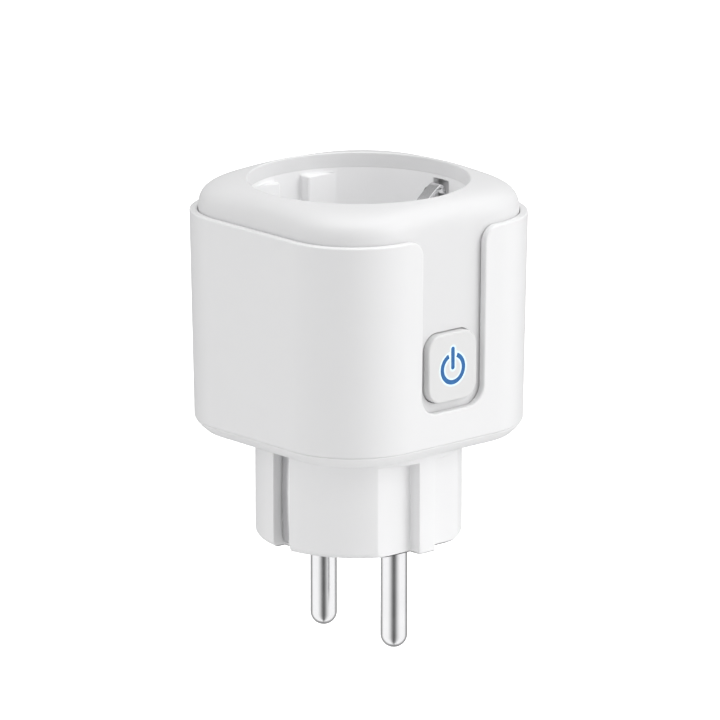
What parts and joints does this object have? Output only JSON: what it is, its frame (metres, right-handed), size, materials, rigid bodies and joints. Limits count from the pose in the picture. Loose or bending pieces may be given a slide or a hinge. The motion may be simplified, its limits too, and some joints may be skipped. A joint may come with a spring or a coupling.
{
  "type": "smart plug adapter",
  "caption": "White smart plug adapter: round earthed two-pin plug below, round earthed socket well above, power button on the front.",
  "frame": {"origin": "centre of the plug's end face, between the two pins", "axes": "+Z from the plug towards the socket, the button faces -Y, the pins stand side by side along Y"},
  "size_m": [0.051, 0.051, 0.0845],
  "materials": {
    "sleeve_white": "gloss",
    "housing_white": "satin",
    "button_white": "satin",
    "icon_blue": "gloss",
    "nickel": "polished",
    "bronze": "satin",
    "steel": "satin",
    "board_green": "satin",
    "part_black": "satin",
    "part_blue": "gloss",
    "led_clear": "gloss"
  },
  "bodies": {
    "adapter": {"outer_sleeve": "sleeve_white", "socket_housing": "housing_white", "socket_well": "housing_white", "plug_base": "housing_white", "line_pin": "nickel", "neutral_pin": "nickel", "line_contact": "bronze", "neutral_contact": "bronze", "plug_earth_contact_left": "nickel", "plug_earth_contact_right": "nickel", "socket_earth_clip_left": "nickel", "socket_earth_clip_right": "nickel", "earth_pin_clip": "bronze", "earth_strap": "bronze", "earth_bridge": "bronze", "main_board": "board_green", "board_screw_front": "steel", "board_screw_back": "steel", "relay": "part_black", "supply_capacitor": "part_black", "transformer": "part_black", "varistor": "part_blue", "fuse": "part_black", "shunt_resistor": "bronze", "rectifier": "part_black", "metering_chip": "part_black", "wireless_module": "board_green", "wireless_shield": "steel", "button_board": "board_green", "tact_switch": "steel", "status_led": "led_clear"},
    "button": {"button_cap": "button_white", "icon_light_guide": "icon_blue"},
    "plunger": {"switch_plunger": "part_black"}
  },
  "joints": [
    {"name": "button_press", "type": "slide", "parent": "adapter", "child": "button", "axis": [0, 1, 0], "range_m": [0, 0.0004], "stiffness_N_per_m": 1500, "springref_m": -0.0004},
    {"name": "plunger_press", "type": "slide", "parent": "adapter", "child": "plunger", "axis": [0, 1, 0], "range_m": [0, 0.0004]}
  ],
  "couplings": [
    {"joint": "plunger_press", "follows": "button_press", "ratio": 1}
  ]
}
